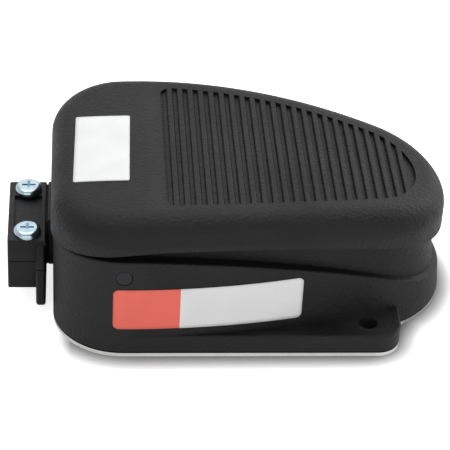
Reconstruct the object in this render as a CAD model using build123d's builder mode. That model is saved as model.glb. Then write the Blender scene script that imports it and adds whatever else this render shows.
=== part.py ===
from build123d import *
from math import asin, atan2, cos, degrees, radians, sin
import os

# Industrial foot switch: a ribbed treadle hinged over a moulded base that holds a snap-action switch.
# X runs from the cord end to the nose, Y across, Z up. The origin is on the floor under the hinge axis.
# Lengths are millimetres and angles are degrees.

# Foot of the base
plate_t = 1.5
gasket_t = 0.6
gasket_w = 6.0
foot_z = plate_t + gasket_t
ear_t = 7.1
ear_end_x = 103.3
ear_corner_r = 9.0
ear_hole_x = 91.0
ear_hole_spacing = 82.6
ear_hole_r = 3.5
ear_round = 0.8
ear_blend_r = 4.0

# Base walls
base_half_w = 49.4
heel_x = -25.7
nose_x = 87.3
base_nose_r = 35.9
nose_draft = 0.09
wall = 3.0
rim_x = -5.7
rim_z = 42.9
rim_heel_r = 60.0
rim_nose_r = 272.0
rim_round = 0.8
ledge_w = 4.5
boss_heel_gap = 5.5
boss_nose_r = 33.7
boss_draft = 0.1
boss_round = 3.0

# Treadle
tread_overhang = 2.0
tread_heel_lip = 0.8
tread_nose_x = 85.9
tread_nose_r = 36.0
tread_wall = 2.6
tread_nose_wall = 1.6
tread_t = 3.0
tread_edge_r = 10.0
tread_core_r = 7.0
top_x = 16.3
top_z = 60.6
top_r = 385.0
skirt_x = 19.3
skirt_z = 48.6
skirt_heel_r = 150.0
skirt_nose_r = 300.0
travel = 4.5
deck_gap = 3.0

# Ribbed pad and nameplate recess
pad_margin = 10.9
pad_x = 13.9
pad_corner_r = 5.0
pad_depth = 1.1
rib_count = 23
rib_pitch = 4.0
rib_first_x = 18.3
rib_w = 2.3
rib_round = 0.6
rib_gap = 0.9
rib_root = 1.0
name_x = -7.8
name_y = -1.7
name_l = 22.0
name_w = 44.6
name_depth = 0.5
name_round = 1.5

# Hinge
pin_z = 35.8
pin_r = 3.15
run_gap = 0.05
lug_y = 36.5
lug_t = 5.0
lug_r = 7.5
lug_top_l = 22.0
lug_slot_gap = 1.6
bush_t = 1.4
bush_flange_t = 1.0
bush_flange_r = 6.2
clip_t = 0.8
clip_r = 6.0
pin_boss_r = 6.5
pin_boss_l = 4.0
pin_chamfer = 0.4

# Return spring
spring_x = 79.0
spring_r = 6.3
spring_wire_r = 0.8
spring_wire_sides = 8
spring_turns = 6
well_r = 8.6
well_wall = 2.0
well_floor_z = 23.6
well_floor_t = 2.5
washer_t = 0.8
retainer_z = 49.1
retainer_t = 2.0
retainer_r = 7.2
spigot_r = 4.4
spigot_l = 4.0

# Travel stops
bumper_x = 98.0
bumper_y = 15.0
bumper_r = 4.5
bumper_seat = 1.5
bumper_gap = 0.3
rest_x = -17.0
rest_y = 20.0
rest_r = 3.0
rest_gap = 0.2

# Actuator screw
tappet_x = 58.0
tappet_boss_r = 5.5
tappet_boss_z = 51.1
tappet_screw_r = 2.5
tappet_tip_z = 42.1
tappet_nut_af = 8.0
tappet_nut_t = 3.2
window_l = 17.0
window_w = 15.0
window_shift = 0.8

# Snap-action switch
case_x = 18.0
case_l = 49.0
case_w = 17.5
case_z = 15.1
case_h = 20.0
case_round = 1.2
cover_t = 3.0
lever_pivot_x = 24.0
lever_pivot_z = 38.7
lever_pin_r = 1.0
lever_t = 1.0
lever_w = 8.0
lever_tip_x = 64.0
lever_tail = 3.0
contact_gap = 0.3
lever_ear_w = 4.4
lever_ear_l = 6.0
plunger_x = 31.0
plunger_r = 2.0
plunger_l = 11.4
guide_r = 4.0
guide_h = 2.4
guide_depth = 10.6
mount_hole_pitch = 25.4
mount_hole_x = 29.9
mount_hole_z = 21.1
terminal_x = (23.0, 42.5, 62.0)
terminal_l = 9.0
terminal_w = 8.0
terminal_t = 1.2
terminal_drop = 2.4
terminal_head_r = 3.2
terminal_head_h = 2.0
bracket_t = 1.6
bracket_x = 26.0
bracket_l = 34.0
bracket_h = 29.2
bracket_foot = 14.0

# Cord clamp
clamp_z = 20.4
clamp_high_z = 30.2
clamp_split = 0.4
cord_boss_r = 12.3
cord_boss_t = 2.2
cord_boss_high_z = 35.0
cord_boss_round = 0.8
hub_r = 10.6
hub_bore_r = 7.5
hub_end_gap = 1.0
seal_t = 0.6
seal_r = 11.8
flange_t = 3.6
flange_half_w = 25.0
flange_low_z = 2.6
flange_top_r = 12.0
flange_low_r = 4.0
flange_round = 1.1
block_l = 10.5
block_half_w = 19.3
block_low_z = 8.6
block_round = 0.8
cord_r = 6.0
clamp_screw_x = 6.8
clamp_screw_y = 13.7
clamp_screw_r = 2.0
clamp_head_r = 5.15
clamp_head_h = 2.4
clamp_recess_l = 10.4
clamp_recess_w = 19.6
clamp_recess_t = 1.2
clamp_nut_af = 7.0
clamp_nut_t = 3.2
locknut_r = 14.0
locknut_t = 4.0
locknut_notches = 6
locknut_notch_w = 4.0

# Small screws
screw_r = 2.0
screw_head_r = 3.5
screw_head_h = screw_head_r - screw_r
post_r = 4.5
post_points = ((-13.5, 33.0), (50.0, 33.5), (100.0, 15.0))
post_screw_l = 14.0
bracket_screw_l = 3.0
slot_w = 1.0
slot_t = 0.7
ground_x = 6.0
ground_y = 24.0
ground_head_r = 4.0
ground_head_h = 2.4
ground_washer_r = 5.0
ground_washer_t = 1.2

# Derived places
tread_half_w = base_half_w + tread_overhang
tread_heel_x = heel_x - tread_heel_lip
boss_half_w = base_half_w - ledge_w
boss_heel_x = heel_x + boss_heel_gap
blank_z = top_z + 10
span = 2 * tread_half_w
view_x0 = heel_x - 5
view_x1 = tread_nose_x + tread_nose_r + 5
top_centre = (top_x, top_z - top_r)
lean_z = top_z - top_r - pin_z
deck_centre = (
    top_x * cos(radians(travel)) + lean_z * sin(radians(travel)),
    pin_z - top_x * sin(radians(travel)) + lean_z * cos(radians(travel)),
)
deck_r = top_r - tread_t - deck_gap


def plan_face(half_w, nose_r, heel, z=0, centre_x=nose_x):
    """Plan outline: a straight heel, round corners, long side arcs and a round nose, all tangent."""
    corner_r = -heel
    side_r = (centre_x**2 + half_w**2 - nose_r**2) / (2 * (half_w - nose_r))
    turn = degrees(atan2(side_r - half_w, centre_x))
    with BuildSketch(Plane.XY.offset(z)) as plan:
        with BuildLine():
            CenterArc((centre_x, 0), nose_r, -turn, 2 * turn)
            CenterArc((0, half_w - side_r), side_r, turn, 90 - turn)
            CenterArc((0, side_r - half_w), side_r, -90, 90 - turn)
            CenterArc((0, half_w - corner_r), corner_r, 90, 90)
            CenterArc((0, corner_r - half_w), corner_r, 180, 90)
            Line((heel, half_w - corner_r), (heel, corner_r - half_w))
        make_face()
    return plan.sketch


def ear_face():
    """Straight-sided outline that reaches from the round heel corners to the ends of the two ears."""
    corner_r = -heel_x
    with BuildSketch() as ears:
        with Locations((ear_end_x, 0)):
            Rectangle(ear_end_x - heel_x, 2 * base_half_w, align=(Align.MAX, Align.CENTER))
        fillet(ears.vertices().group_by(Axis.X)[-1], radius=ear_corner_r)
        fillet(ears.vertices().group_by(Axis.X)[0], radius=corner_r)
    return ears.sketch


def foot_face(z, nose_r):
    """Outline of the foot: the base outline and the two ears, with a blend where they leave the nose."""
    with BuildSketch(Plane.XY.offset(z)) as foot:
        add(plan_face(base_half_w, nose_r, heel_x))
        add(ear_face())
        # Out and back by one radius rounds the two inner corners and leaves the rest as it was
        offset(amount=ear_blend_r)
        offset(amount=-ear_blend_r)
    return foot.sketch


def below_curve(apex_x, apex_z, heel_r, nose_r):
    """Side view of all that lies under two arcs that fall from one apex to the heel and the nose."""
    heel_turn = degrees(asin((apex_x - view_x0) / heel_r))
    nose_turn = degrees(asin((view_x1 - apex_x) / nose_r))
    with BuildSketch(Plane.XZ) as view:
        with BuildLine():
            falling_back = CenterArc((apex_x, apex_z - heel_r), heel_r, 90, heel_turn)
            falling_front = CenterArc((apex_x, apex_z - nose_r), nose_r, 90 - nose_turn, nose_turn)
            Polyline(falling_back @ 1, (view_x0, -10), (view_x1, -10), falling_front @ 0)
        make_face()
    return view.sketch


def side_disc(centre, radius):
    """Side view of a large round, used for the curved tops."""
    with BuildSketch(Plane.XZ) as view:
        with Locations(centre):
            Circle(radius)
    return view.sketch


def rim_edges(body):
    """Outer edges of the curved top, without the line where its two arcs meet."""
    tops = [face for face in body.faces() if face.normal_at().Z > 0.3]
    edges = [edge for face in tops for edge in face.edges()]
    return [edge for edge in edges if sum(edge == other for other in edges) == 1]


def base_body(inset):
    """Low outer wall up to the rim, and the inner wall up to the deck, both set in by a wall."""
    rise = blank_z - foot_z
    with BuildPart() as inner:
        low = plan_face(boss_half_w - inset, boss_nose_r - inset, boss_heel_x + inset, foot_z)
        high = plan_face(
            boss_half_w - inset, boss_nose_r - inset - boss_draft * rise, boss_heel_x + inset, blank_z
        )
        loft([low, high])
        extrude(side_disc(deck_centre, deck_r - inset), amount=span, both=True, mode=Mode.INTERSECT)
        fillet(inner.faces().sort_by(Axis.Z)[-1].edges(), radius=max(boss_round - inset, 1))
    with BuildPart() as body:
        low = plan_face(base_half_w - inset, base_nose_r - inset, heel_x + inset, foot_z)
        high = plan_face(
            base_half_w - inset, base_nose_r - inset - nose_draft * rise, heel_x + inset, blank_z
        )
        loft([low, high])
        extrude(
            below_curve(rim_x, rim_z - inset, rim_heel_r - inset, rim_nose_r - inset),
            amount=span,
            both=True,
            mode=Mode.INTERSECT,
        )
        if not inset:
            fillet(rim_edges(body), radius=rim_round)
        add(inner.part)
    return body.part


def treadle_blank(inset, nose_inset, drop, edge_r):
    """Treadle form down to the floor, with its curved top and round top edge."""
    with BuildPart() as blank:
        extrude(
            plan_face(
                tread_half_w - inset,
                tread_nose_r - nose_inset,
                tread_heel_x + inset,
                centre_x=tread_nose_x,
            ),
            amount=blank_z,
        )
        extrude(side_disc(top_centre, top_r - drop), amount=span, both=True, mode=Mode.INTERSECT)
        fillet(blank.faces().sort_by(Axis.Z)[-1].edges(), radius=edge_r)
    return blank.part


def top_layer(depth):
    """All that lies less than a depth under the treadle's curved top."""
    with BuildPart() as layer:
        with BuildSketch(Plane.XZ):
            with Locations(top_centre):
                Circle(top_r + tread_edge_r)
                Circle(top_r - depth, mode=Mode.SUBTRACT)
        extrude(amount=tread_half_w, both=True)
    return layer.part


def pad_face(inset):
    """Outline of the ribbed field, which follows the treadle's edge."""
    margin = pad_margin + inset
    with BuildSketch() as pad:
        add(
            plan_face(
                tread_half_w - margin,
                tread_nose_r - margin,
                tread_heel_x + margin,
                centre_x=tread_nose_x,
            )
        )
        with Locations((pad_x + inset, 0)):
            Rectangle(span, span, align=(Align.MIN, Align.CENTER), mode=Mode.INTERSECT)
        fillet(pad.vertices().sort_by(Axis.X)[:2], radius=pad_corner_r - inset)
    return pad.sketch


def both_sides(x, y, z=0):
    """The same place on the near and the far side."""
    return Locations((x, y, z), (x, -y, z))


# Treadle
with BuildPart() as rib_field:
    with BuildSketch(Plane.XZ):
        with Locations(top_centre):
            Circle(top_r + tread_edge_r)
            Circle(top_r - pad_depth, mode=Mode.SUBTRACT)
            rib_turn = degrees(rib_pitch / top_r)
            first_turn = 90 - degrees(asin((rib_first_x - top_x) / top_r))
            rib_length = pad_depth + rib_root
            with PolarLocations(
                top_r - rib_length / 2, rib_count, first_turn, -rib_turn * (rib_count - 1), endpoint=True
            ):
                RectangleRounded(rib_length, rib_w, rib_round, mode=Mode.SUBTRACT)
    extrude(amount=tread_half_w, both=True)
    extrude(pad_face(rib_gap), amount=blank_z, mode=Mode.INTERSECT)

with BuildPart() as pad_moat:
    add(top_layer(pad_depth))
    extrude(pad_face(0), amount=blank_z, mode=Mode.INTERSECT)
    extrude(pad_face(rib_gap), amount=blank_z, mode=Mode.SUBTRACT)

with BuildPart() as name_recess:
    add(top_layer(name_depth))
    with BuildSketch():
        with Locations((name_x, name_y)):
            RectangleRounded(name_l, name_w, name_round)
    extrude(amount=blank_z, mode=Mode.INTERSECT)

with BuildPart() as treadle_underside:
    lug_root_z = top_z - tread_t
    for side in (1, -1):
        with BuildSketch(Plane.XZ.offset(side * lug_y)):
            with Locations((0, pin_z)):
                Circle(lug_r)
            with BuildLine():
                Polyline(
                    (-lug_r, pin_z),
                    (lug_r, pin_z),
                    (lug_top_l / 2, lug_root_z),
                    (lug_top_l / 2, blank_z),
                    (-lug_top_l / 2, blank_z),
                    (-lug_top_l / 2, lug_root_z),
                    close=True,
                )
            make_face()
        extrude(amount=lug_t / 2, both=True)
    with BuildSketch(Plane.XY.offset(tappet_boss_z)):
        with Locations((tappet_x, 0)):
            Circle(tappet_boss_r)
    extrude(amount=blank_z - tappet_boss_z)
    with BuildSketch(Plane.XY.offset(retainer_z + retainer_t)):
        with Locations((spring_x, 0)):
            Circle(retainer_r)
    extrude(amount=blank_z - retainer_z)
    with BuildSketch(Plane.XY.offset(deck_centre[1] + deck_r + rest_gap)):
        with Locations((rest_x, rest_y), (rest_x, -rest_y)):
            Circle(rest_r)
    extrude(amount=blank_z)
    extrude(side_disc(top_centre, top_r - tread_t / 2), amount=span, both=True, mode=Mode.INTERSECT)

with BuildPart() as treadle:
    add(treadle_blank(0, 0, 0, tread_edge_r))
    add(treadle_blank(tread_wall, tread_nose_wall, tread_t, tread_core_r), mode=Mode.SUBTRACT)
    extrude(
        below_curve(skirt_x, skirt_z, skirt_heel_r, skirt_nose_r),
        amount=span,
        both=True,
        mode=Mode.SUBTRACT,
    )
    add(treadle_underside.part)
    add(rib_field.part, mode=Mode.SUBTRACT)
    add(pad_moat.part, mode=Mode.SUBTRACT)
    add(name_recess.part, mode=Mode.SUBTRACT)
    with BuildSketch(Plane.XZ):
        with Locations((0, pin_z)):
            Circle(pin_r + run_gap + bush_t)
    extrude(amount=tread_half_w - tread_wall, both=True, mode=Mode.SUBTRACT)
    with BuildSketch(Plane.XY.offset(tappet_boss_z)):
        with Locations((tappet_x, 0)):
            Circle(tappet_screw_r)
    extrude(amount=tappet_boss_r, mode=Mode.SUBTRACT)

# Hinge
with BuildPart() as hinge_bushes:
    bush_r = pin_r + run_gap + bush_t
    for side in (1, -1):
        outside = lug_y + lug_t / 2
        with BuildSketch(Plane.XZ.offset(side * (lug_y - lug_t / 2))):
            with Locations((0, pin_z)):
                Circle(bush_r)
        extrude(amount=side * lug_t)
        with BuildSketch(Plane.XZ.offset(side * outside)):
            with Locations((0, pin_z)):
                Circle(bush_flange_r)
        extrude(amount=side * bush_flange_t)
    with BuildSketch(Plane.XZ):
        with Locations((0, pin_z)):
            Circle(pin_r + run_gap)
    extrude(amount=span, both=True, mode=Mode.SUBTRACT)

with BuildPart() as hinge_pin:
    with BuildSketch(Plane.XZ):
        with Locations((0, pin_z)):
            Circle(pin_r)
    extrude(amount=base_half_w, both=True)
    chamfer(hinge_pin.edges().filter_by(GeomType.CIRCLE), length=pin_chamfer)

with BuildPart() as pin_clips:
    clip_y = lug_y + lug_t / 2 + bush_flange_t + contact_gap
    for side in (1, -1):
        with BuildSketch(Plane.XZ.offset(side * clip_y)):
            with Locations((0, pin_z)):
                Circle(clip_r)
                Circle(pin_r, mode=Mode.SUBTRACT)
        extrude(amount=side * clip_t)

# Base
blank = base_body(0)

with BuildPart() as base_inside:
    for x, y in post_points:
        with BuildSketch(Plane.XY.offset(foot_z)):
            with both_sides(x, y):
                Circle(post_r)
        extrude(amount=blank_z)
    with BuildSketch(Plane.XY.offset(well_floor_z - well_floor_t)):
        with Locations((spring_x, 0)):
            Circle(well_r + well_wall)
    extrude(amount=blank_z)
    for side in (1, -1):
        with BuildSketch(Plane.XZ.offset(side * (base_half_w - wall - pin_boss_l))):
            with Locations((0, pin_z)):
                Circle(pin_boss_r)
        extrude(amount=side * (pin_boss_l + wall / 2))
    add(blank, mode=Mode.INTERSECT)

with BuildPart() as cord_boss:
    with BuildSketch(Plane.YZ.offset(heel_x - cord_boss_t)):
        with Locations((0, clamp_z)):
            Circle(cord_boss_r)
            Rectangle(2 * cord_boss_r, cord_boss_high_z - clamp_z, align=(Align.CENTER, Align.MIN))
    extrude(amount=cord_boss_t + wall / 2)
    fillet(cord_boss.faces().sort_by(Axis.X)[0].edges(), radius=cord_boss_round)

with BuildPart() as ears:
    extrude(foot_face(foot_z, base_nose_r - 2 * nose_draft * ear_t), amount=ear_t)
    fillet(ears.faces().sort_by(Axis.Z)[-1].edges(), radius=ear_round)

with BuildPart() as base_housing:
    add(blank)
    add(ears.part)
    add(cord_boss.part)
    add(base_body(wall), mode=Mode.SUBTRACT)
    add(base_inside.part)
    with BuildSketch(Plane.XZ):
        with Locations((0, pin_z)):
            Circle(pin_r)
    extrude(amount=span, both=True, mode=Mode.SUBTRACT)
    with BuildSketch(Plane.YZ.offset(heel_x - cord_boss_t)):
        with Locations((0, clamp_z)):
            Circle(hub_r)
    extrude(amount=cord_boss_t + 2 * wall, mode=Mode.SUBTRACT)
    with BuildSketch(Plane.XY.offset(foot_z)):
        for x, y in post_points:
            with both_sides(x, y):
                Circle(screw_r)
    extrude(amount=post_screw_l, mode=Mode.SUBTRACT)
    with BuildSketch(Plane.XY.offset(foot_z)):
        with both_sides(ear_hole_x, ear_hole_spacing / 2):
            Circle(ear_hole_r)
    extrude(amount=ear_t, mode=Mode.SUBTRACT)
    with BuildSketch(Plane.XY.offset(well_floor_z)):
        with Locations((spring_x, 0)):
            Circle(well_r)
        with Locations((tappet_x + window_shift, 0)):
            RectangleRounded(window_l, window_w, window_w / 4)
        with both_sides(0, lug_y):
            RectangleRounded(lug_top_l + 2 * lug_slot_gap, lug_t + 2 * lug_slot_gap, lug_slot_gap)
    extrude(amount=blank_z, mode=Mode.SUBTRACT)
    bumper_turn = asin((bumper_x - deck_centre[0]) / deck_r)
    bumper_z = deck_centre[1] + deck_r * cos(bumper_turn)
    bumper_axis = (sin(bumper_turn), 0, cos(bumper_turn))
    bumper_across = (cos(bumper_turn), 0, -sin(bumper_turn))
    for side in (1, -1):
        seat = Plane((bumper_x, side * bumper_y, bumper_z), x_dir=bumper_across, z_dir=bumper_axis)
        with BuildSketch(seat.offset(-bumper_seat)):
            Circle(bumper_r)
        extrude(amount=2 * bumper_seat, mode=Mode.SUBTRACT)

with BuildPart() as base_gasket:
    extrude(foot_face(plate_t, base_nose_r), amount=gasket_t)
    extrude(
        plan_face(base_half_w - gasket_w, base_nose_r - gasket_w, heel_x + gasket_w, plate_t),
        amount=gasket_t,
        mode=Mode.SUBTRACT,
    )
    with BuildSketch(Plane.XY.offset(plate_t)):
        with both_sides(ear_hole_x, ear_hole_spacing / 2):
            Circle(ear_hole_r)
    extrude(amount=gasket_t, mode=Mode.SUBTRACT)

bracket_screw_y = -(case_w / 2 + bracket_t + bracket_foot / 2)
bracket_screw_points = [(bracket_x + bracket_l * share, bracket_screw_y) for share in (0.2, 0.8)]
plate_screw_points = [(x, side * y) for x, y in post_points for side in (1, -1)]

with BuildPart() as base_plate:
    extrude(foot_face(0, base_nose_r), amount=plate_t)
    for x, y in plate_screw_points + bracket_screw_points:
        with Locations(Plane((x, y, 0), z_dir=(0, 0, -1))):
            CounterSinkHole(screw_r, screw_head_r, depth=plate_t, counter_sink_angle=90)
    with BuildSketch():
        with both_sides(ear_hole_x, ear_hole_spacing / 2):
            Circle(ear_hole_r)
        with Locations((ground_x, ground_y)):
            Circle(screw_r)
    extrude(amount=plate_t, mode=Mode.SUBTRACT)


def flat_screws(points, length):
    """Countersunk screws that stand up from the underside of the plate, with a driver slot."""
    with BuildPart() as screws:
        with Locations([(x, y, 0) for x, y in points]):
            Cone(screw_head_r, screw_r, screw_head_h, align=(Align.CENTER, Align.CENTER, Align.MIN))
            Cylinder(screw_r, length, align=(Align.CENTER, Align.CENTER, Align.MIN))
            Box(
                2 * screw_head_r,
                slot_w,
                slot_t,
                align=(Align.CENTER, Align.CENTER, Align.MIN),
                mode=Mode.SUBTRACT,
            )
    return screws.part


with BuildPart() as plate_screws:
    add(flat_screws(plate_screw_points, foot_z + post_screw_l - 2))

# Return spring
with BuildPart() as spring_washer:
    with Locations((spring_x, 0, well_floor_z)):
        Cylinder(well_r - contact_gap, washer_t, align=(Align.CENTER, Align.CENTER, Align.MIN))

with BuildPart() as return_spring:
    spring_low_z = well_floor_z + washer_t + spring_wire_r
    spring_high_z = retainer_z - spring_wire_r
    spring_pitch = (spring_high_z - spring_low_z) / spring_turns
    with BuildLine():
        coil = Helix(
            spring_pitch, spring_high_z - spring_low_z, spring_r, center=(spring_x, 0, spring_low_z)
        )
    with BuildSketch(Plane(coil @ 0, z_dir=coil % 0)):
        RegularPolygon(spring_wire_r, spring_wire_sides)
    sweep(is_frenet=True)

with BuildPart() as spring_retainer:
    with Locations((spring_x, 0, retainer_z)):
        Cylinder(retainer_r, retainer_t, align=(Align.CENTER, Align.CENTER, Align.MIN))
    with Locations((spring_x, 0, retainer_z - spigot_l)):
        Cylinder(spigot_r, spigot_l, align=(Align.CENTER, Align.CENTER, Align.MIN))
    chamfer(spring_retainer.edges().sort_by(Axis.Z)[0], length=spigot_r / 6)

with BuildPart() as stop_bumpers:
    for side in (1, -1):
        seat = Plane((bumper_x, side * bumper_y, bumper_z), x_dir=bumper_across, z_dir=bumper_axis)
        with BuildSketch(seat.offset(-bumper_seat)):
            Circle(bumper_r)
        extrude(amount=bumper_seat + deck_gap - bumper_gap)

# Actuator screw in the treadle
with BuildPart() as actuator_screw:
    with Locations((tappet_x, 0, tappet_tip_z)):
        Cylinder(
            tappet_screw_r,
            tappet_boss_z + tappet_boss_r - tappet_tip_z,
            align=(Align.CENTER, Align.CENTER, Align.MIN),
        )
    fillet(actuator_screw.edges().sort_by(Axis.Z)[0], radius=tappet_screw_r * 0.8)

with BuildPart() as actuator_locknut:
    with BuildSketch(Plane.XY.offset(tappet_boss_z - tappet_nut_t)):
        with Locations((tappet_x, 0)):
            RegularPolygon(tappet_nut_af / 2, 6, major_radius=False)
            Circle(tappet_screw_r, mode=Mode.SUBTRACT)
    extrude(amount=tappet_nut_t)

# Snap-action switch
lever_top_z = tappet_tip_z - contact_gap
lever_low_z = lever_top_z - lever_t
plunger_top_z = lever_low_z - contact_gap
case_top_z = case_z + case_h
switch_hole_points = ((mount_hole_x, mount_hole_z), (mount_hole_x + mount_hole_pitch, mount_hole_z))

with BuildPart() as switch_case:
    with BuildSketch(Plane.XY.offset(case_z)):
        with Locations((case_x, 0)):
            Rectangle(case_l, case_w, align=(Align.MIN, Align.CENTER))
        fillet(vertices(), radius=case_round)
    extrude(amount=case_h)
    with Locations((plunger_x, 0, case_top_z)):
        Cylinder(guide_r, guide_h, align=(Align.CENTER, Align.CENTER, Align.MIN))
    with BuildSketch(Plane.XZ):
        with BuildLine():
            Polyline(
                (lever_pivot_x - lever_ear_l / 2, case_top_z),
                (lever_pivot_x + lever_ear_l / 2, case_top_z),
                (lever_pivot_x + 2 * lever_pin_r, lever_pivot_z),
                (lever_pivot_x - 2 * lever_pin_r, lever_pivot_z),
                close=True,
            )
        make_face()
        with Locations((lever_pivot_x, lever_pivot_z)):
            Circle(2 * lever_pin_r)
    extrude(amount=lever_ear_w / 2, both=True)
    with BuildSketch(Plane.XZ):
        with Locations((lever_pivot_x, lever_pivot_z)):
            Circle(lever_pin_r)
        with Locations(*switch_hole_points):
            Circle(screw_r)
    extrude(amount=case_w, both=True, mode=Mode.SUBTRACT)
    with BuildSketch(Plane.XY.offset(case_top_z + guide_h)):
        with Locations((plunger_x, 0)):
            Circle(plunger_r + run_gap)
    extrude(amount=-guide_depth, mode=Mode.SUBTRACT)

with BuildPart() as switch_cover:
    with BuildSketch(Plane.XY.offset(case_z - cover_t)):
        with Locations((case_x, 0)):
            Rectangle(case_l, case_w, align=(Align.MIN, Align.CENTER))
        fillet(vertices(), radius=case_round)
    extrude(amount=cover_t)
    with BuildSketch(Plane.XY.offset(case_z - cover_t)):
        with Locations([(x, 0) for x in terminal_x]):
            Circle(screw_r)
    extrude(amount=cover_t, mode=Mode.SUBTRACT)


def terminal(x):
    """Brass terminal under the switch, with a lug turned down at one side."""
    with BuildPart() as strip:
        with BuildSketch(Plane.YZ.offset(x - terminal_w / 2)):
            with BuildLine():
                Polyline(
                    (-terminal_l / 2, case_z - cover_t),
                    (terminal_l / 2 + terminal_t, case_z - cover_t),
                    (terminal_l / 2 + terminal_t, case_z - cover_t - terminal_t - terminal_drop),
                    (terminal_l / 2, case_z - cover_t - terminal_t - terminal_drop),
                    (terminal_l / 2, case_z - cover_t - terminal_t),
                    (-terminal_l / 2, case_z - cover_t - terminal_t),
                    close=True,
                )
            make_face()
        extrude(amount=terminal_w)
        with BuildSketch(Plane.XY.offset(case_z - cover_t)):
            with Locations((x, 0)):
                Circle(screw_r)
        extrude(amount=-terminal_t, mode=Mode.SUBTRACT)
    return strip.part


with BuildPart() as terminal_common:
    add(terminal(terminal_x[0]))

with BuildPart() as terminal_open:
    add(terminal(terminal_x[1]))

with BuildPart() as terminal_closed:
    add(terminal(terminal_x[2]))

with BuildPart() as terminal_screws:
    terminal_low_z = case_z - cover_t - terminal_t
    with Locations([(x, 0, terminal_low_z) for x in terminal_x]):
        Cylinder(screw_r, cover_t + terminal_t, align=(Align.CENTER, Align.CENTER, Align.MIN))
        Cylinder(
            terminal_head_r, terminal_head_h, align=(Align.CENTER, Align.CENTER, Align.MAX)
        )
    with Locations([(x, 0, terminal_low_z - terminal_head_h) for x in terminal_x]):
        Box(
            2 * terminal_head_r,
            slot_w,
            slot_t,
            align=(Align.CENTER, Align.CENTER, Align.MIN),
            mode=Mode.SUBTRACT,
        )

with BuildPart() as switch_lever:
    with BuildSketch(Plane.XY.offset(lever_low_z)):
        with Locations((lever_pivot_x - lever_tail, 0)):
            Rectangle(lever_tip_x - lever_pivot_x + lever_tail, lever_w, align=(Align.MIN, Align.CENTER))
    extrude(amount=lever_t)
    fillet(switch_lever.edges().filter_by(Axis.Z).group_by(Axis.X)[-1], radius=lever_w / 4)
    for side in (1, -1):
        with BuildSketch(Plane.XZ.offset(side * lever_w / 2)):
            with Locations((lever_pivot_x, lever_pivot_z)):
                Circle(lever_tail)
            with Locations((lever_pivot_x, lever_low_z)):
                Rectangle(2 * lever_tail, lever_low_z - lever_pivot_z, align=(Align.CENTER, Align.MAX))
        extrude(amount=-side * lever_t)
    with BuildSketch(Plane.XZ):
        with Locations((lever_pivot_x, lever_pivot_z)):
            Circle(lever_pin_r + run_gap)
    extrude(amount=lever_w, both=True, mode=Mode.SUBTRACT)

with BuildPart() as lever_pin:
    with BuildSketch(Plane.XZ):
        with Locations((lever_pivot_x, lever_pivot_z)):
            Circle(lever_pin_r)
    extrude(amount=lever_w / 2 + contact_gap, both=True)

with BuildPart() as switch_plunger:
    with Locations((plunger_x, 0, plunger_top_z)):
        Cylinder(plunger_r, plunger_l, align=(Align.CENTER, Align.CENTER, Align.MAX))
    fillet(switch_plunger.edges().sort_by(Axis.Z)[-1], radius=plunger_r / 2)

with BuildPart() as switch_bracket:
    bracket_y = -case_w / 2
    with BuildSketch(Plane.YZ.offset(bracket_x)):
        with BuildLine():
            Polyline(
                (bracket_y, plate_t),
                (bracket_y, plate_t + bracket_h),
                (bracket_y - bracket_t, plate_t + bracket_h),
                (bracket_y - bracket_t, plate_t + bracket_t),
                (bracket_y - bracket_t - bracket_foot, plate_t + bracket_t),
                (bracket_y - bracket_t - bracket_foot, plate_t),
                close=True,
            )
        make_face()
    extrude(amount=bracket_l)
    with BuildSketch(Plane.XZ.offset(-bracket_y)):
        with Locations(*switch_hole_points):
            Circle(screw_r)
    extrude(amount=bracket_t, mode=Mode.SUBTRACT)
    with BuildSketch(Plane.XY.offset(plate_t)):
        with Locations(bracket_screw_points):
            Circle(screw_r)
    extrude(amount=bracket_t, mode=Mode.SUBTRACT)

with BuildPart() as bracket_screws:
    add(flat_screws(bracket_screw_points, bracket_screw_l))

with BuildPart() as switch_screws:
    screw_end_y = case_w / 2 + bracket_t + tappet_nut_t + 1
    with BuildSketch(Plane.XZ.offset(-case_w / 2)):
        with Locations(*switch_hole_points):
            Circle(terminal_head_r)
    extrude(amount=-terminal_head_h)
    with BuildSketch(Plane.XZ.offset(-case_w / 2)):
        with Locations(*switch_hole_points):
            Circle(screw_r)
    extrude(amount=case_w / 2 + screw_end_y)

with BuildPart() as switch_nuts:
    with BuildSketch(Plane.XZ.offset(case_w / 2 + bracket_t)):
        with Locations(*switch_hole_points):
            RegularPolygon(clamp_nut_af / 2, 6, major_radius=False)
            Circle(screw_r, mode=Mode.SUBTRACT)
    extrude(amount=clamp_nut_t)

# Earth connection
with BuildPart() as ground_washer:
    with BuildSketch(Plane.XY.offset(plate_t)):
        with Locations((ground_x, ground_y)):
            Circle(ground_washer_r)
            Circle(screw_r, mode=Mode.SUBTRACT)
    extrude(amount=ground_washer_t)

with BuildPart() as ground_screw:
    with Locations((ground_x, ground_y, plate_t + ground_washer_t)):
        Cylinder(ground_head_r, ground_head_h, align=(Align.CENTER, Align.CENTER, Align.MIN))
        Cylinder(screw_r, plate_t + ground_washer_t, align=(Align.CENTER, Align.CENTER, Align.MAX))
    with Locations((ground_x, ground_y, plate_t + ground_washer_t + ground_head_h)):
        Box(
            2 * ground_head_r,
            slot_w,
            slot_t,
            align=(Align.CENTER, Align.CENTER, Align.MAX),
            mode=Mode.SUBTRACT,
        )

# Cord clamp
boss_x = heel_x - cord_boss_t
saddle_end_x = boss_x - seal_t
flange_x = saddle_end_x - flange_t
block_x = flange_x - block_l
screw_x = saddle_end_x - clamp_screw_x
hub_end_x = heel_x + wall + locknut_t + hub_end_gap

with BuildPart() as clamp_seal:
    with BuildSketch(Plane.YZ.offset(saddle_end_x)):
        with Locations((0, clamp_z)):
            Circle(seal_r)
            Circle(hub_r, mode=Mode.SUBTRACT)
    extrude(amount=seal_t)

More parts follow.
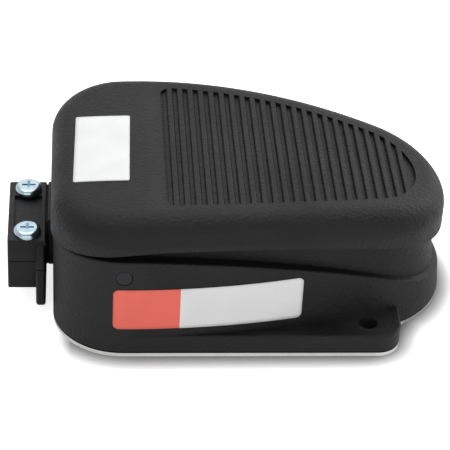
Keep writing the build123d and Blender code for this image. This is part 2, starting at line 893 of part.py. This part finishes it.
with BuildPart() as clamp_flange:
    with BuildSketch(Plane.YZ.offset(flange_x)):
        with Locations((0, flange_low_z)):
            Rectangle(
                2 * flange_half_w, clamp_high_z - flange_low_z, align=(Align.CENTER, Align.MIN)
            )
        fillet(vertices().group_by(Axis.Y)[-1], radius=flange_top_r)
        fillet(vertices().group_by(Axis.Y)[0], radius=flange_low_r)
    extrude(amount=flange_t)
    fillet(clamp_flange.faces().filter_by(Axis.X).edges(), radius=flange_round)

with BuildPart() as clamp_blank:
    with BuildSketch(Plane.XY.offset(block_low_z)):
        with Locations((block_x, 0)):
            Rectangle(block_l + flange_t, 2 * block_half_w, align=(Align.MIN, Align.CENTER))
        fillet(vertices().group_by(Axis.X)[0], radius=block_round)
    extrude(amount=clamp_high_z - block_low_z)
    chamfer(clamp_blank.faces().sort_by(Axis.Z)[-1].edges(), length=block_round / 2)
    add(clamp_flange.part)
    with BuildSketch(Plane.YZ.offset(block_x)):
        with Locations((0, clamp_z)):
            Circle(cord_r)
    extrude(amount=block_l + flange_t, mode=Mode.SUBTRACT)

with BuildPart() as clamp_body:
    add(clamp_blank.part)
    split(bisect_by=Plane.XY.offset(clamp_z), keep=Keep.BOTTOM)
    with BuildSketch(Plane.YZ.offset(saddle_end_x)):
        with Locations((0, clamp_z)):
            Circle(hub_r)
    extrude(amount=hub_end_x - saddle_end_x)
    with BuildSketch(Plane.YZ.offset(flange_x)):
        with Locations((0, clamp_z)):
            Circle(hub_bore_r)
    extrude(amount=hub_end_x - flange_x, mode=Mode.SUBTRACT)
    with BuildSketch(Plane.XY.offset(clamp_z)):
        with both_sides(screw_x, clamp_screw_y):
            Circle(clamp_screw_r)
    extrude(amount=block_low_z - clamp_z, mode=Mode.SUBTRACT)
    with BuildSketch(Plane.XY.offset(block_low_z)):
        with both_sides(screw_x, clamp_screw_y):
            RegularPolygon(clamp_nut_af / 2, 6, major_radius=False, rotation=30)
    extrude(amount=clamp_nut_t, mode=Mode.SUBTRACT)

with BuildPart() as clamp_saddle:
    add(clamp_blank.part)
    split(bisect_by=Plane.XY.offset(clamp_z + clamp_split), keep=Keep.TOP)
    with BuildSketch(Plane.XY.offset(clamp_high_z - clamp_recess_t)):
        with Locations((screw_x, 0)):
            Rectangle(clamp_recess_l, clamp_recess_w)
    extrude(amount=clamp_recess_t, mode=Mode.SUBTRACT)
    with BuildSketch(Plane.XY.offset(clamp_z)):
        with both_sides(screw_x, clamp_screw_y):
            Circle(clamp_screw_r + contact_gap)
    extrude(amount=clamp_high_z - clamp_z, mode=Mode.SUBTRACT)

with BuildPart() as clamp_screws:
    with both_sides(screw_x, clamp_screw_y, clamp_high_z):
        Cylinder(clamp_head_r, clamp_head_h, align=(Align.CENTER, Align.CENTER, Align.MIN))
    fillet(clamp_screws.edges().group_by(Axis.Z)[-1], radius=clamp_head_h * 0.8)
    with both_sides(screw_x, clamp_screw_y, clamp_high_z):
        Cylinder(
            clamp_screw_r, clamp_high_z - block_low_z, align=(Align.CENTER, Align.CENTER, Align.MAX)
        )
    with both_sides(screw_x, clamp_screw_y, clamp_high_z + clamp_head_h):
        for length, width in ((clamp_head_r, slot_w), (slot_w, clamp_head_r)):
            Box(
                length,
                width,
                2 * slot_t,
                align=(Align.CENTER, Align.CENTER, Align.MAX),
                mode=Mode.SUBTRACT,
            )

with BuildPart() as clamp_nuts:
    with BuildSketch(Plane.XY.offset(block_low_z)):
        with both_sides(screw_x, clamp_screw_y):
            RegularPolygon(clamp_nut_af / 2, 6, major_radius=False, rotation=30)
            Circle(clamp_screw_r, mode=Mode.SUBTRACT)
    extrude(amount=clamp_nut_t)

with BuildPart() as clamp_locknut:
    with BuildSketch(Plane.YZ.offset(heel_x + wall)):
        with Locations((0, clamp_z)):
            Circle(locknut_r)
            with PolarLocations(locknut_r, locknut_notches):
                Rectangle(locknut_notch_w / 2, locknut_notch_w, mode=Mode.SUBTRACT)
            Circle(hub_r, mode=Mode.SUBTRACT)
    extrude(amount=locknut_t)

nodes = {
    "treadle": treadle,
    "hinge_bushes": hinge_bushes,
    "hinge_pin": hinge_pin,
    "pin_clips": pin_clips,
    "base_housing": base_housing,
    "base_gasket": base_gasket,
    "base_plate": base_plate,
    "plate_screws": plate_screws,
    "return_spring": return_spring,
    "spring_washer": spring_washer,
    "spring_retainer": spring_retainer,
    "stop_bumpers": stop_bumpers,
    "actuator_screw": actuator_screw,
    "actuator_locknut": actuator_locknut,
    "switch_case": switch_case,
    "switch_cover": switch_cover,
    "terminal_common": terminal_common,
    "terminal_open": terminal_open,
    "terminal_closed": terminal_closed,
    "terminal_screws": terminal_screws,
    "switch_lever": switch_lever,
    "lever_pin": lever_pin,
    "switch_plunger": switch_plunger,
    "switch_bracket": switch_bracket,
    "bracket_screws": bracket_screws,
    "switch_screws": switch_screws,
    "switch_nuts": switch_nuts,
    "ground_washer": ground_washer,
    "ground_screw": ground_screw,
    "clamp_body": clamp_body,
    "clamp_saddle": clamp_saddle,
    "clamp_screws": clamp_screws,
    "clamp_nuts": clamp_nuts,
    "clamp_locknut": clamp_locknut,
    "clamp_seal": clamp_seal,
}

os.makedirs("parts", exist_ok=True)
for label, piece in nodes.items():
    piece.part.label = label
    export_step(piece.part, f"parts/{label}.step")
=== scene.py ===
from math import cos, pi, radians, sin
import bmesh
import bpy
from mathutils import Matrix, Vector
from mathutils.bvhtree import BVHTree


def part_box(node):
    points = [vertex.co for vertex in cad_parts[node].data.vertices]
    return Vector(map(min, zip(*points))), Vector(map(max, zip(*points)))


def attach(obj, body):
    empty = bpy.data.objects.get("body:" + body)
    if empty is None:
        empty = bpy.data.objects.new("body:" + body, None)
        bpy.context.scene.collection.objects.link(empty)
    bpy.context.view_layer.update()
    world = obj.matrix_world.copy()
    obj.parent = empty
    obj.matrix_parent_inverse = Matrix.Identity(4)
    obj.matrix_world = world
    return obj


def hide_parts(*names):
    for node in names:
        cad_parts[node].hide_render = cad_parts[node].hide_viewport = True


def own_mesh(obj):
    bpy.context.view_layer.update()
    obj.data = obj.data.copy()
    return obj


# Industrial foot switch: finishes, stickers, studio and camera around the CAD nodes.
# Lengths are metres in the CAD frame: X towards the nose, Y across, Z up.

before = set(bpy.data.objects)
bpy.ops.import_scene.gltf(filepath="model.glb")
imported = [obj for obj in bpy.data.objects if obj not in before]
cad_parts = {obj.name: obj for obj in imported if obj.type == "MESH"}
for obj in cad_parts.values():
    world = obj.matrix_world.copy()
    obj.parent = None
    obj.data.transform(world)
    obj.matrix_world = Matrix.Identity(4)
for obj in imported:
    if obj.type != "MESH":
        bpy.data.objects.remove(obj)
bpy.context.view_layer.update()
scene = bpy.context.scene

# Tread field of the treadle: its arc seen from the side, and the ribs along that arc
tread_apex_x = 0.0163
tread_apex_z = 0.0606
tread_arc_r = 0.385
rib_pitch = 0.004
rib_first_x = 0.0183
rib_half_w = 0.00115
groove_depth = 0.0011
tread_start_x = 0.0145
tread_end_x = 0.1105
tread_low_z = 0.042
tread_fade = 0.001


def add_node(tree, kind, links=(), **settings):
    """New shader node; links gives each input a constant or the socket that feeds it."""
    made = tree.nodes.new("ShaderNode" + kind)
    for key, value in settings.items():
        setattr(made, key, value)
    for socket, source in dict(links).items():
        if isinstance(source, bpy.types.NodeSocket):
            tree.links.new(source, made.inputs[socket])
        else:
            made.inputs[socket].default_value = source
    return made


class Shader:
    """A principled material whose texture comes from the object's own coordinates."""

    def __init__(self, name, **constants):
        self.material = bpy.data.materials.new(name)
        self.material.use_nodes = True
        self.tree = self.material.node_tree
        self.surface = self.tree.nodes["Principled BSDF"]
        self.place = self.node("TexCoord").outputs["Object"]
        for socket, value in constants.items():
            self.surface.inputs[socket.replace("_", " ")].default_value = value

    def node(self, kind, links=(), **settings):
        return add_node(self.tree, kind, links, **settings)

    def noise(self, size, detail=3.0, roughness=0.55, stretch=None):
        """Noise whose blotches are about as large as size."""
        place = self.place
        if stretch:
            place = self.node("Mapping", {"Vector": place, "Scale": stretch}).outputs["Vector"]
        links = {"Vector": place, "Scale": 1 / size, "Detail": detail, "Roughness": roughness}
        return self.node("TexNoise", links).outputs["Fac"]

    def grain(self, size):
        """Pebbled grain of a spark-eroded mould."""
        links = {"Vector": self.place, "Scale": 1 / size, "Smoothness": 0.7}
        cells = self.node("TexVoronoi", links, feature="SMOOTH_F1").outputs["Distance"]
        return self.math("ADD", cells, self.noise(0.6 * size))

    def math(self, operation, first, second=0.0):
        return self.node("Math", {0: first, 1: second}, operation=operation).outputs[0]

    def span(self, source, low=0.0, high=1.0, start=0.3, end=0.7):
        """Value that goes from low to high while the source goes from start to end."""
        links = {"Value": source, "From Min": start, "From Max": end, "To Min": low, "To Max": high}
        return self.node("MapRange", links).outputs["Result"]

    def ramp(self, source, low, high):
        """Colour from low to high over the middle of the source's range."""
        ramp = self.node("ValToRGB", {"Fac": source})
        for element, at, colour in zip(ramp.color_ramp.elements, (0.3, 0.7), (low, high)):
            element.position = at
            element.color = colour
        return ramp.outputs["Color"]

    def mix(self, amount, first, second):
        """Colour between first and second; inputs 6 and 7 of the node are its two colours."""
        links = {"Factor": amount, 6: first, 7: second}
        return self.node("Mix", links, data_type="RGBA").outputs[2]

    def set(self, socket, source):
        self.tree.links.new(source, self.surface.inputs[socket])

    def bump(self, *layers):
        """Relief layers, each a source, a height and a strength."""
        normal = None
        for source, height, strength in layers:
            links = {"Height": source, "Distance": height, "Strength": strength}
            if normal:
                links["Normal"] = normal
            normal = self.node("Bump", links).outputs["Normal"]
        self.set("Normal", normal)

    def groove_painted_shade(self):
        """Painted shade of the tread grooves: full on their upright walls, less along a foot of each
        rib.
        """
        facing = self.node("SeparateXYZ", {0: self.node("TexCoord").outputs["Normal"]}).outputs
        spot = self.node("SeparateXYZ", {0: self.place}).outputs
        walls = self.span(self.math("ABSOLUTE", facing["X"]), start=0.5, end=0.8)
        across = self.math("SUBTRACT", spot["X"], tread_apex_x)
        up = self.math("SUBTRACT", spot["Z"], tread_apex_z - tread_arc_r)
        run = self.math("MULTIPLY", self.math("ARCTAN2", across, up), tread_arc_r)
        # Pitches past the first rib, whose fraction grows from each rib's centre to the next
        pitches = self.math("DIVIDE", self.math("SUBTRACT", run, rib_first_x - tread_apex_x), rib_pitch)
        phase = self.math("FRACT", self.math("ADD", pitches, 1))
        edge = rib_half_w / rib_pitch
        rise, full, fade = 0.03, 0.07, 0.06
        foot = self.math(
            "MULTIPLY",
            self.span(phase, start=edge - rise, end=edge),
            self.span(phase, low=1, high=0, start=edge + full, end=edge + full + fade),
        )
        squares = self.math("ADD", self.math("MULTIPLY", across, across), self.math("MULTIPLY", up, up))
        sunk = self.span(
            self.math("SQRT", squares),
            low=1,
            high=0,
            start=tread_arc_r - 0.8 * groove_depth,
            end=tread_arc_r - 0.5 * groove_depth,
        )
        level = self.span(facing["Z"], high=0.7, start=0.94, end=0.96)
        foot = self.math("MULTIPLY", self.math("MULTIPLY", foot, sunk), level)
        # Painted shade: the grooves' upright walls and the rib feet, where shade falls
        painted_shade = self.math("MAXIMUM", walls, foot)
        for limit in (
            self.span(spot["X"], start=tread_start_x, end=tread_start_x + tread_fade),
            self.span(spot["X"], low=1, high=0, start=tread_end_x, end=tread_end_x + tread_fade),
            self.span(spot["Z"], start=tread_low_z, end=tread_low_z + tread_fade),
        ):
            painted_shade = self.math("MULTIPLY", painted_shade, limit)
        return painted_shade


def tint(tone, factor):
    """Opaque colour of a tone made lighter or darker."""
    return (*(min(1, value * factor) for value in tone), 1)


def moulded(name, tone, grain, wear_and_highlight=0.35, grooved=False):
    """Moulded plastic: grain of a size and height, cloudy gloss, paler edges that are part rubbed wear
    and part painted highlight, pale specks that are painted glints, and painted shade in the grooves
    when grooved.
    """
    grain_size, grain_height = grain
    shader = Shader(name, IOR=1.49, Specular_IOR_Level=0.34)
    cloud = shader.noise(size=0.035, detail=4)
    speck = shader.noise(size=0.0011, detail=5, roughness=0.7)
    body = shader.ramp(cloud, tint(tone, 0.86), tint(tone, 1.14))
    # Painted glints: pale specks on the grain, up to half way to three times the tone
    body = shader.mix(shader.span(speck, high=0.5), body, tint(tone, 3))
    # Painted highlight along pointy edges, partly rubbed wear: up to eight times the tone there
    edge = shader.node("NewGeometry").outputs["Pointiness"]
    edge = shader.span(edge, high=wear_and_highlight, start=0.505, end=0.56)
    rubbed_and_highlit = shader.math("MULTIPLY", edge, shader.span(speck, low=0.4))
    body = shader.mix(rubbed_and_highlit, body, tint(tone, 8))
    gloss = shader.span(cloud, low=0.42, high=0.58)
    gloss = shader.math("ADD", gloss, shader.span(speck, low=-0.1, high=0.12))
    if grooved:
        painted_shade = shader.groove_painted_shade()
        # Painted shade in the tread grooves: the tone is darkened to a fifth there
        body = shader.mix(painted_shade, body, tint(tone, 0.2))
        gloss = shader.math("MAXIMUM", gloss, painted_shade)
    shader.set("Base Color", body)
    shader.set("Roughness", gloss)
    shader.bump((shader.grain(grain_size), grain_height, 0.5), (cloud, 0.0004, 0.12))
    return shader.material


def plated(name, tone, rough=(0.2, 0.36), along=(1, 1, 1), stain=0.2):
    """Plated steel with a cloudy film and faint drawing lines."""
    shader = Shader(name, Metallic=1.0)
    cloud = shader.noise(size=0.004, detail=4)
    lines = shader.noise(size=0.0006, detail=2, stretch=along)
    body = shader.ramp(cloud, tint(tone, 0.84), tint(tone, 1.08))
    body = shader.mix(shader.span(lines, high=stain), body, tint(tone, 0.6))
    shader.set("Base Color", body)
    shader.set("Roughness", shader.span(shader.noise(size=0.0015, detail=5), *rough))
    shader.bump((lines, 0.00002, 0.25), (cloud, 0.0001, 0.1))
    return shader.material


def painted(name, tone, painted_shade_x=None):
    """Pale coating with faint orange peel and grey scuffs; beyond the given x it turns dull grey as
    painted shade.
    """
    painted_shade_fade = 0.003
    shader = Shader(name, IOR=1.5)
    cloud = shader.noise(size=0.02, detail=5)
    body = shader.ramp(cloud, tint(tone, 0.9), tint(tone, 1.05))
    scuff = shader.noise(size=0.006, detail=7, roughness=0.7)
    body = shader.mix(shader.span(scuff, high=0.35, start=0.56, end=0.72), body, tint(tone, 0.55))
    if painted_shade_x:
        # Painted shade: the coat turns dull grey beyond the given x
        along = shader.node("SeparateXYZ", {0: shader.place}).outputs["X"]
        shaded = shader.span(along, high=0.85, start=painted_shade_x, end=painted_shade_x + painted_shade_fade)
        body = shader.mix(shaded, body, tint(tone, 0.3))
    shader.set("Base Color", body)
    shader.set("Roughness", shader.span(cloud, low=0.35, high=0.5))
    shader.bump((shader.noise(size=0.0008, detail=2), 0.00003, 0.2))
    return shader.material


def rubber(name, tone):
    """Matt rubber with a dusty bloom."""
    shader = Shader(name, IOR=1.5, Specular_IOR_Level=0.1)
    bloom = shader.noise(size=0.006, detail=6, roughness=0.65)
    shader.set("Base Color", shader.ramp(bloom, tint(tone, 0.8), tint(tone, 1.7)))
    shader.set("Roughness", shader.span(bloom, low=0.7, high=0.9))
    shader.bump((shader.noise(size=0.0005, detail=4), 0.00004, 0.3))
    return shader.material


def vinyl(name, tone, second=None, split_x=None):
    """Printed vinyl: faint cloudiness, dirt from shoes and small dents; split_x parts two colours."""
    shader = Shader(name, IOR=1.48, Coat_Weight=0.25, Coat_Roughness=0.25)
    cloud = shader.noise(size=0.012, detail=5)
    body = shader.ramp(cloud, tint(tone, 0.95), tint(tone, 1.03))
    if second:
        along = shader.node("SeparateXYZ", {0: shader.place}).outputs["X"]
        beyond = shader.math("GREATER_THAN", along, split_x)
        body = shader.mix(beyond, body, shader.ramp(cloud, tint(second, 0.95), tint(second, 1.03)))
    dirt = shader.noise(size=0.003, detail=8, roughness=0.75)
    dirt = shader.span(dirt, high=0.22, start=0.58, end=0.78)
    shader.set("Base Color", shader.mix(dirt, body, (0.32, 0.31, 0.30, 1)))
    shader.set("Roughness", shader.span(cloud, low=0.32, high=0.46))
    shader.bump((cloud, 0.0002, 0.15), (shader.noise(size=0.0011, detail=3), 0.00002, 0.2))
    return shader.material


black = moulded("treadle_plastic", (0.0032, 0.0032, 0.0039), grain=(0.0012, 0.0004), grooved=True)
housing = moulded("housing_plastic", (0.004, 0.004, 0.0041), grain=(0.0011, 0.00035), wear_and_highlight=0.25)
clamp_black = moulded("clamp_plastic", (0.0024, 0.0024, 0.0026), grain=(0.0008, 0.00005), wear_and_highlight=0.5)
inner_black = moulded("thermoset", (0.05, 0.042, 0.038), grain=(0.0005, 0.00002))
brown = moulded("cover_thermoset", (0.12, 0.075, 0.045), grain=(0.0005, 0.00002))
pale = moulded("bush_plastic", (0.62, 0.60, 0.53), grain=(0.0006, 0.00002), wear_and_highlight=0.1)
red = moulded("plunger_plastic", (0.5, 0.035, 0.02), grain=(0.0006, 0.00001), wear_and_highlight=0.1)
zinc = plated("zinc_plate", (0.78, 0.81, 0.83))
blue_zinc = plated("blue_zinc", (0.60, 0.76, 0.86), rough=(0.1, 0.24), stain=0.45)
bracket_zinc = plated("bracket_zinc", (0.66, 0.65, 0.60), rough=(0.35, 0.5), along=(0.2, 1, 1))
spring_steel = plated("spring_steel", (0.52, 0.53, 0.55), rough=(0.25, 0.38))
dark_steel = plated("dark_pin", (0.055, 0.055, 0.06), rough=(0.38, 0.5), along=(1, 0.2, 1))
brass = plated("terminal_brass", (0.80, 0.60, 0.28), rough=(0.25, 0.4))
earth_green = painted("earth_green", (0.05, 0.32, 0.09))
# Painted shade on the floor plate's edge round the nose
plate_coat = painted("plate_coat", (0.80, 0.80, 0.78), painted_shade_x=0.104)
black_rubber = rubber("black_rubber", (0.016, 0.016, 0.016))
gasket_rubber = rubber("gasket_rubber", (0.0015, 0.0015, 0.0015))

finishes = {
    black: ["treadle"],
    housing: ["base_housing"],
    clamp_black: ["clamp_body", "clamp_saddle", "clamp_locknut"],
    inner_black: ["switch_case"],
    brown: ["switch_cover"],
    pale: ["hinge_bushes", "spring_retainer"],
    red: ["switch_plunger"],
    blue_zinc: ["clamp_screws"],
    zinc: [
        "clamp_nuts",
        "plate_screws",
        "bracket_screws",
        "switch_screws",
        "switch_nuts",
        "terminal_screws",
        "ground_washer",
        "spring_washer",
        "actuator_screw",
        "actuator_locknut",
    ],
    bracket_zinc: ["switch_bracket"],
    spring_steel: ["return_spring", "switch_lever", "pin_clips", "lever_pin"],
    dark_steel: ["hinge_pin"],
    brass: ["terminal_common", "terminal_open", "terminal_closed"],
    earth_green: ["ground_screw"],
    plate_coat: ["base_plate"],
    black_rubber: ["clamp_seal", "stop_bumpers"],
    gasket_rubber: ["base_gasket"],
}
for finish, names in finishes.items():
    for name in names:
        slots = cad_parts[name].material_slots
        for slot in slots:
            slot.material = finish


def turn_against(mesh, direction):
    """Make the faces of a flat mesh look against the direction."""
    bmesh.ops.recalc_face_normals(mesh, faces=mesh.faces[:])
    if sum(face.normal.dot(direction) for face in mesh.faces) > 0:
        bmesh.ops.reverse_faces(mesh, faces=mesh.faces[:])


def stored(mesh):
    """Mesh data of a drawn mesh, which is freed."""
    data = bpy.data.meshes.new("drawn")
    mesh.to_mesh(data)
    mesh.free()
    return data


def add_piece(name, data, finish, body, smooth=False):
    """Scene piece of one finish that rides on a body."""
    data.name = name
    data.materials.clear()
    data.materials.append(finish)
    for face in data.polygons:
        face.use_smooth = smooth
    piece = bpy.data.objects.new(name, data)
    scene.collection.objects.link(piece)
    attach(piece, body)
    return piece


def sticker(name, node, body, finish, centre, size, corner, up, thickness, tilt=0.0):
    """Thin rounded sticker laid on a CAD surface: drawn flat, cut into strips, then pressed on."""
    strip_w, start_off, lift, arc_steps = 0.0015, 0.05, 0.00003, 8
    along, up = Vector((1, 0, 0)), Vector(up)
    inward = up.cross(along)
    skin = BVHTree.FromObject(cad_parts[node], bpy.context.evaluated_depsgraph_get())
    mesh = bmesh.new()
    half_l, half_w = size[0] / 2 - corner, size[1] / 2 - corner
    ring = []
    for quarter, (side_l, side_w) in enumerate(((1, 1), (-1, 1), (-1, -1), (1, -1))):
        for step in range(arc_steps + 1):
            angle = (quarter + step / arc_steps) * pi / 2
            x, y = side_l * half_l + corner * cos(angle), side_w * half_w + corner * sin(angle)
            ring.append(mesh.verts.new((x, y, 0)))
    mesh.faces.new(ring)
    for normal, length in (((1, 0, 0), size[0]), ((0, 1, 0), size[1])):
        strips = round(length / strip_w)
        for cut in range(1, strips):
            bmesh.ops.bisect_plane(
                mesh,
                geom=mesh.verts[:] + mesh.edges[:] + mesh.faces[:],
                plane_co=Vector(normal) * (length * (cut / strips - 0.5)),
                plane_no=normal,
            )
    for vert in mesh.verts:
        x, y = vert.co.x, vert.co.y
        x, y = x * cos(tilt) - y * sin(tilt), x * sin(tilt) + y * cos(tilt)
        start = Vector(centre) + along * x + up * y - inward * start_off
        spot, _, _, _ = skin.ray_cast(start, inward)
        vert.co = spot - inward * lift
    turn_against(mesh, inward)
    piece = add_piece(name, stored(mesh), finish, body, smooth=True)
    solid = piece.modifiers.new("thickness", "SOLIDIFY")
    solid.thickness = thickness
    solid.offset = 1
    solid.use_even_offset = True


sticker(
    "nameplate_blank",
    "treadle",
    "treadle",
    vinyl("nameplate_vinyl", (0.86, 0.87, 0.87)),
    centre=(-0.0078, -0.0016, 0.08),
    size=(0.0203, 0.0426),
    corner=0.0008,
    up=(0, 1, 0),
    thickness=0.00015,
    tilt=radians(-1.3),
)
sticker(
    "side_label_blank",
    "base_housing",
    "base",
    vinyl("label_vinyl", (0.93, 0.15, 0.105), second=(0.84, 0.84, 0.84), split_x=0.0204),
    centre=(0.0308, -0.06, 0.0218),
    size=(0.0694, 0.0178),
    corner=0.0021,
    up=(0, 0, 1),
    thickness=0.00012,
)


def arc(radius, centre_z, start, turn, steps):
    """Points in Y and Z along an arc about a centre on the middle plane."""
    angles = [start + turn * step / steps for step in range(steps + 1)]
    return [(radius * cos(angle), centre_z + radius * sin(angle)) for angle in angles]


def seal_gasket():
    """Flat rubber gasket with the outline of the heel's cord boss, around the clamp's hub."""
    ring_w, boss_r, boss_high_z, corner, play = 0.001, 0.0121, 0.0346, 0.001, 0.00002
    near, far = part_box("clamp_seal")
    axis_z = (near[2] + far[2]) / 2
    hub_r = (far[2] - near[2]) / 2 - ring_w
    outline = arc(boss_r, axis_z, start=pi, turn=pi, steps=24)
    outline += [(boss_r, boss_high_z - corner), (boss_r - corner, boss_high_z)]
    outline += [(corner - boss_r, boss_high_z), (-boss_r, boss_high_z - corner)]
    hole = arc(hub_r, axis_z, start=0, turn=2 * pi, steps=48)[:-1]
    mesh = bmesh.new()
    edges = []
    for loop in (outline, hole):
        verts = [mesh.verts.new((near[0] + play, y, z)) for y, z in loop]
        edges += [mesh.edges.new(pair) for pair in zip(verts, verts[1:] + verts[:1])]
    bmesh.ops.triangle_fill(mesh, edges=edges, use_beauty=True)
    turn_against(mesh, Vector((1, 0, 0)))
    grown = bmesh.ops.extrude_face_region(mesh, geom=mesh.faces[:])["geom"]
    moved = [item for item in grown if isinstance(item, bmesh.types.BMVert)]
    bmesh.ops.translate(mesh, verts=moved, vec=(far[0] - near[0] - 2 * play, 0, 0))
    bmesh.ops.recalc_face_normals(mesh, faces=mesh.faces[:])
    piece = add_piece("clamp_gasket", stored(mesh), black_rubber, "base")
    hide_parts("clamp_seal")


seal_gasket()


def spring_coil():
    """Round-wire return spring, closed at both ends, in the place of the CAD spring."""
    wire_r, turns, turn_steps, closed_share = 0.0008, 6, 28, 0.08
    near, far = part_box("return_spring")
    centre_x = (near[0] + far[0]) / 2
    coil_r = (far[0] - near[0]) / 2 - wire_r
    low_z, high_z = near[2] + wire_r, far[2] - wire_r
    curve = bpy.data.curves.new("spring_line", "CURVE")
    curve.dimensions = "3D"
    curve.bevel_depth = wire_r
    curve.bevel_resolution = 3
    curve.use_fill_caps = True
    line = curve.splines.new("POLY")
    steps = turns * turn_steps
    line.points.add(steps)
    for step, point in enumerate(line.points):
        share = step / steps
        climb = min(max((share - closed_share) / (1 - 2 * closed_share), 0), 1)
        angle = 2 * pi * turns * share
        x, y = centre_x + coil_r * cos(angle), coil_r * sin(angle)
        point.co = (x, y, low_z + (high_z - low_z) * climb, 1)
    guide = bpy.data.objects.new("spring_line", curve)
    scene.collection.objects.link(guide)
    shape = guide.evaluated_get(bpy.context.evaluated_depsgraph_get())
    data = bpy.data.meshes.new_from_object(shape)
    bpy.data.objects.remove(guide)
    piece = add_piece("spring_coil", data, spring_steel, "base", smooth=True)
    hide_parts("return_spring")
    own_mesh(piece)


spring_coil()


def add_camera(place, yaw, pitch, roll, focal_px, photo_w_px):
    """Camera that looks along +Y turned by yaw and down by pitch."""
    forward = Vector((sin(yaw) * cos(pitch), cos(yaw) * cos(pitch), -sin(pitch)))
    right = Vector((cos(yaw), -sin(yaw), 0))
    down = forward.cross(right)
    right, down = right * cos(roll) + down * sin(roll), down * cos(roll) - right * sin(roll)
    data = bpy.data.cameras.new("camera")
    data.sensor_width = 36
    data.lens = data.sensor_width * focal_px / photo_w_px
    data.clip_start = 0.05
    camera = bpy.data.objects.new("camera", data)
    scene.collection.objects.link(camera)
    turned = Matrix((right, -down, -forward)).transposed().to_4x4()
    camera.matrix_world = Matrix.Translation(place) @ turned
    scene.camera = camera


# The photograph's viewpoint
add_camera(
    place=(-0.01718, -0.60769, 0.46721),
    yaw=radians(5.32),
    pitch=radians(36),
    roll=radians(-3.33),
    focal_px=1977,
    photo_w_px=450,
)


def seen_or_not(tree, unseen, seen):
    """Shader that shows seen to the camera and unseen to every other ray."""
    path = add_node(tree, "LightPath").outputs["Is Camera Ray"]
    return add_node(tree, "MixShader", {0: path, 1: unseen, 2: seen}).outputs[0]


def floor_paper():
    """White with tight soft shadows to the camera, a pale grey to every other ray."""
    shadow_reach, shadow_depth, glow, unseen_tone = 0.0105, 3, 0.72, 0.88
    heel_start_x, heel_end_x = -0.026, -0.019
    paper = bpy.data.materials.new("floor")
    paper.use_nodes = True
    tree = paper.node_tree
    tree.nodes.remove(tree.nodes["Principled BSDF"])
    near = add_node(tree, "AmbientOcclusion", {"Distance": shadow_reach}).outputs["AO"]
    contact = add_node(tree, "Math", {0: near, 1: shadow_depth}, operation="POWER").outputs[0]
    spot = add_node(tree, "SeparateXYZ", {0: add_node(tree, "TexCoord").outputs["Object"]})
    # No contact shadow behind the heel, under the raised clamp
    links = {"Value": spot.outputs["X"], "From Min": heel_start_x, "From Max": heel_end_x}
    ahead = add_node(tree, "MapRange", links).outputs["Result"]
    shade = add_node(tree, "Mix", {"Factor": ahead, "A": 1, "B": contact}).outputs["Result"]
    light = add_node(tree, "Emission", {"Strength": glow, "Color": shade}).outputs[0]
    lit = add_node(tree, "BsdfDiffuse", {"Color": shade}).outputs[0]
    seen = add_node(tree, "AddShader", {0: light, 1: lit}).outputs[0]
    unseen = add_node(tree, "BsdfDiffuse", {"Color": (unseen_tone, unseen_tone, unseen_tone, 1)})
    out = tree.nodes["Material Output"].inputs["Surface"]
    tree.links.new(seen_or_not(tree, unseen.outputs[0], seen), out)
    return paper


floor_mesh = bpy.data.meshes.new("floor")
floor_reach = 3
floor_corners = [(x * floor_reach, y * floor_reach, 0) for x, y in ((-1, -1), (1, -1), (1, 1), (-1, 1))]
floor_mesh.from_pydata(floor_corners, [], [(0, 1, 2, 3)])
floor_mesh.materials.append(floor_paper())
floor = bpy.data.objects.new("floor", floor_mesh)
scene.collection.objects.link(floor)


def softbox(name, place, size, energy):
    """Rectangular area light aimed at the floor under the treadle."""
    aim = Vector((0.04, 0, 0))
    data = bpy.data.lights.new(name, "AREA")
    data.shape = "RECTANGLE"
    data.size, data.size_y = size
    data.energy = energy
    lamp = bpy.data.objects.new(name, data)
    scene.collection.objects.link(lamp)
    lamp.location = place
    lamp.rotation_euler = (aim - Vector(place)).to_track_quat("-Z", "Y").to_euler()


softbox("back_light", place=(0.1, 1.0, 1.1), size=(1.9, 1.3), energy=2.8)
softbox("top_light", place=(0.0, 0.25, 1.5), size=(2.0, 1.2), energy=9)
softbox("front_light", place=(0.1, -1.6, 0.6), size=(3.2, 1.1), energy=8)
softbox("right_light", place=(1.2, 0.8, 0.5), size=(1.0, 0.8), energy=4)


def tent():
    """World of an even tent that is dimmer in front than behind, and plain white to the camera."""
    front_strength, back_strength = 0.4, 0.8
    world = bpy.data.worlds.new("studio")
    world.use_nodes = True
    tree = world.node_tree
    white = (1, 1, 1, 1)
    compass = add_node(tree, "SeparateXYZ", {0: add_node(tree, "TexCoord").outputs["Generated"]})
    links = {"Value": compass.outputs["Y"], "From Min": -1, "From Max": 1}
    links.update({"To Min": front_strength, "To Max": back_strength})
    strength = add_node(tree, "MapRange", links).outputs["Result"]
    around = tree.nodes["Background"]
    around.inputs["Color"].default_value = white
    tree.links.new(strength, around.inputs["Strength"])
    plain = add_node(tree, "Background", {"Color": white}).outputs[0]
    out = tree.nodes["World Output"].inputs["Surface"]
    tree.links.new(seen_or_not(tree, around.outputs[0], plain), out)
    return world


scene.world = tent()
scene.view_settings.view_transform = "Standard"
